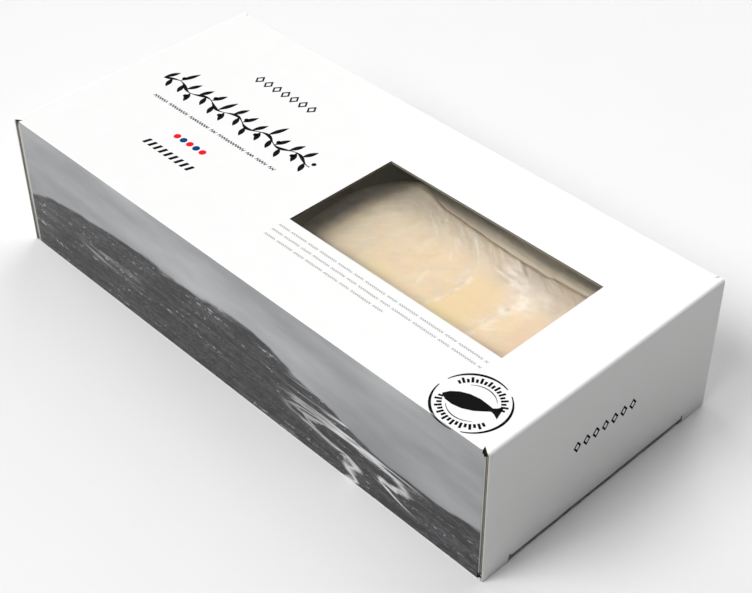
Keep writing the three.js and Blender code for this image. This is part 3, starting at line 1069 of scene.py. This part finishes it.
def printed_band():
    """A generic stone-like design in greys: a light field over a dark one, with pale veins."""
    shader = Shader("printed_band", roughness=0.42, specular=0.35)
    x, z = shader.axis("X"), shader.axis("Z")
    above = shader.math("SUBTRACT", z, field_edge(shader, x))
    fields = dark_field(shader), light_field(shader, {"x": x, "z": z})
    design = shader.mix(shader.scaled(above, -0.8, 0.8), *fields)
    panel = shader.between(x, BAND["left"], BAND["right"])
    shader.color(shader.mix(panel, band_edging_and_gap_shade(shader, x, z), design))
    shader.bump(shader.noise(0.5, stretch=(3, 1, 1), detail=4), 0.005)
    return shader.material


def raw_edge():
    """Cut board: a grey-brown core between a white coat and a lighter liner, and painted shade that makes it
    near black inside the slits.
    """
    shader = Shader("raw_edge", roughness=0.85, specular=0.2)
    squares = []
    for name, limit in (("X", END), ("Z", HEIGHT)):
        inside = shader.math("SUBTRACT", limit - CLOSURE_FOLD, shader.math("ABSOLUTE", shader.axis(name)))
        past_fold = shader.math("MINIMUM", inside, 0)
        squares.append(shader.times(past_fold, past_fold))
    reach = shader.math("SQRT", shader.math("ADD", *squares))
    depth = shader.math("SUBTRACT", CLOSURE_FOLD, reach)
    from_middle = shader.math("ABSOLUTE", shader.axis("X"))
    at_end = shader.scaled(from_middle, END - BOARD - 0.3, END - BOARD)
    # Painted shade: the cut board inside the slits is near black
    slit_shade = shader.scaled(from_middle, END - SLIT["from_end"] - 0.5, END - SLIT["from_end"])
    fibres = shader.noise(0.35, stretch=(4, 4, 1), detail=4)
    core = shader.mix(fibres, (0.125, 0.12, 0.098), (0.185, 0.178, 0.148))
    core = shader.mix(shader.scaled(depth, BOARD - 0.36, BOARD - 0.28), core, (0.33, 0.315, 0.26))
    core = shader.mix(slit_shade, core, (0.03, 0.028, 0.02))
    coat = shader.scaled(depth, 0.6, 0.75, 1.0, 0.0)
    shader.color(shader.mix(shader.times(coat, at_end), core, (0.42, 0.41, 0.38)))
    shader.bump(fibres, 0.03)
    return shader.material


def inner_board():
    """The board's grey-brown inside, with longer fibres."""
    shader = Shader("inner_board", roughness=0.8, specular=0.2)
    mottle = shader.noise(3, stretch=(3, 1, 1), detail=6)
    fibres = shader.noise(0.6, stretch=(5, 1, 1), detail=4, shift=3.0)
    grey = shader.mix(mottle, (0.43, 0.41, 0.36), (0.52, 0.50, 0.44))
    shader.color(shader.mix(shader.scaled(fibres, 0.62, 0.75), grey, (0.60, 0.58, 0.52)))
    shader.bump(fibres, 0.02)
    return shader.material


def ink(name, color):
    """Matt print, a little uneven where the board's grain takes it."""
    shader = Shader(name, roughness=0.8, specular=0.05)
    speckle = shader.scaled(shader.noise(0.4, detail=3), 0.35, 0.6)
    lighter = tuple(min(1.0, channel * 1.1 + 0.002) for channel in color)
    shader.color(shader.mix(speckle, lighter, color))
    return shader.material


# Tissue of the fillet and painted light on it, from the bottom layer up: how much each covers, and its
# colour. Rim, shade, dim, deep and wedge are painted shade; back, seam, grey and crease are partly the
# tissue's own tint and partly painted shade; streak is partly painted highlights.
TISSUE_AND_PAINTED_LIGHT = {
    "rosy": (0.4, (0.74, 0.54, 0.43)), "dusky": (0.4, (0.66, 0.56, 0.40)),
    "gold": (0.7, (0.76, 0.57, 0.31)), "sunny": (0.6, (0.70, 0.515, 0.35)),
    "rind": (0.45, (0.72, 0.62, 0.30)), "tan": (0.6, (0.56, 0.42, 0.23)),
    "septa": (0.55, (0.86, 0.75, 0.60)), "membrane": (0.6, (0.56, 0.49, 0.40)),
    "mauve": (0.45, (0.45, 0.38, 0.33)), "streak": (0.6, (0.80, 0.73, 0.62)),
    "cloud": (0.8, (0.88, 0.80, 0.70)), "crease": (0.5, (0.34, 0.29, 0.22)),
    "grey": (0.62, (0.47, 0.44, 0.365)), "rim": (0.35, (0.36, 0.34, 0.32)),
    "shade": (0.8, (0.62, 0.60, 0.54)), "back": (0.85, (0.54, 0.49, 0.40)),
    "dim": (0.85, (0.22, 0.20, 0.165)), "deep": (0.85, (0.32, 0.29, 0.24)),
    "wedge": (0.7, (0.16, 0.145, 0.11)), "seam": (0.8, (0.20, 0.12, 0.07)),
}

FLESH_SHINE = {
    "Subsurface Weight": 0.3, "Subsurface Radius": (1.0, 0.55, 0.3), "Subsurface Scale": 2.0 * MM,
    "Coat Weight": 0.15, "Coat Roughness": 0.3,
}


def flesh():
    """Moist salted cod: warm flesh, with each kind of tissue and each painted shade and highlight over it.
    """
    shader = Shader("flesh", roughness=0.45, specular=0.4)
    warm = shader.scaled(shader.noise(13, stretch=(1.2, 1, 1), detail=4), 0.3, 0.7)
    base = shader.mix(warm, (0.74, 0.59, 0.39), (0.75, 0.57, 0.36))
    fibres = shader.noise(0.7, stretch=(7, 1, 1), detail=4, shift=2.0)
    base = shader.mix(shader.scaled(fibres, 0.35, 0.75, 0.0, 0.15), base, (0.80, 0.68, 0.52))
    for name, (cover, color) in TISSUE_AND_PAINTED_LIGHT.items():
        base = shader.mix(shader.times(shader.attribute(name), cover), base, color)
    shader.color(base)
    shader.fill(shader.surface, FLESH_SHINE)
    shader.rough(shader.scaled(shader.noise(2.5, detail=3, shift=5.0), 0.3, 0.7, 0.38, 0.52))
    shader.bump(fibres, 0.05)
    return shader.material


# Camera, lights and floor


def camera():
    """The photograph's camera: its place scales with the carton's length."""
    level = Vector((math.cos(LOOK_AZIMUTH), math.sin(LOOK_AZIMUTH), 0))
    flat = math.cos(LOOK_DOWN)
    ahead = Vector((-level.y * flat, level.x * flat, -math.sin(LOOK_DOWN)))
    upright = level.cross(ahead)
    right = level * math.cos(LOOK_ROLL) + upright * math.sin(LOOK_ROLL)
    up = right.cross(ahead)
    data = bpy.data.cameras.new("camera")
    data.sensor_fit = "HORIZONTAL"
    data.sensor_width = SENSOR
    data.lens = FOCAL_PIXELS / PICTURE_WIDTH * SENSOR
    viewer = placed("camera", data)
    turn = Matrix((right, up, -ahead)).transposed().to_4x4()
    viewer.matrix_world = Matrix.Translation(Vector(EYE) * LENGTH * MM) @ turn
    bpy.context.scene.camera = viewer


def lights():
    for name, (azimuth, elevation, spread, strength) in LIGHTS.items():
        data = bpy.data.lights.new(name, "SUN")
        data.angle = math.radians(spread)
        data.energy = strength
        flat = math.cos(math.radians(elevation))
        turn = math.radians(azimuth)
        source = Vector((math.cos(turn) * flat, math.sin(turn) * flat, math.sin(math.radians(elevation))))
        placed(name, data).matrix_world = source.to_track_quat("Z", "Y").to_matrix().to_4x4()
    hollow = bpy.data.lights.new("hollow", "POINT")
    hollow.shadow_soft_size = HOLLOW_LAMP["radius"] * MM
    strip = bpy.data.lights.new("strip", "AREA")
    strip.shape = "RECTANGLE"
    strip.size, strip.size_y = (side * MM for side in STRIP_LAMP["size"])
    for data, values in ((hollow, HOLLOW_LAMP), (strip, STRIP_LAMP)):
        data.energy = values["power"]
        lamp = placed(data.name, data)
        lamp.location = Vector(values["place"]) * MM
        lamp.visible_camera = False


def backdrop():
    """A pale surround to look at, which lights nothing."""
    world = bpy.data.worlds.new("studio")
    bpy.context.scene.world = world
    world.use_nodes = True
    tree = world.node_tree
    shade = tree.nodes["Background"]
    seen = tree.nodes.new("ShaderNodeLightPath")
    strength = tree.nodes.new("ShaderNodeMath")
    strength.operation = "MULTIPLY"
    strength.inputs[1].default_value = BACKDROP
    tree.links.new(seen.outputs["Is Camera Ray"], strength.inputs[0])
    tree.links.new(strength.outputs[0], shade.inputs["Strength"])
    shade.inputs["Color"].default_value = (1, 1, 1, 1)


def floor():
    mesh = bmesh.new()
    bmesh.ops.create_grid(mesh, x_segments=8, y_segments=8, size=FLOOR_SIZE)
    ground = new_object("floor", mesh)
    shader = Shader("floor", roughness=0.9, specular=0.1)
    shader.color(shader.mix(shader.noise(40, detail=3), (0.795, 0.795, 0.795), (0.81, 0.81, 0.81)))
    ground.data.materials.append(shader.material)


bpy.context.scene.view_settings.view_transform = "Standard"
camera()
lights()
backdrop()
floor()
box = carton()
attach(box, BODY)
print_pieces()
fillet()
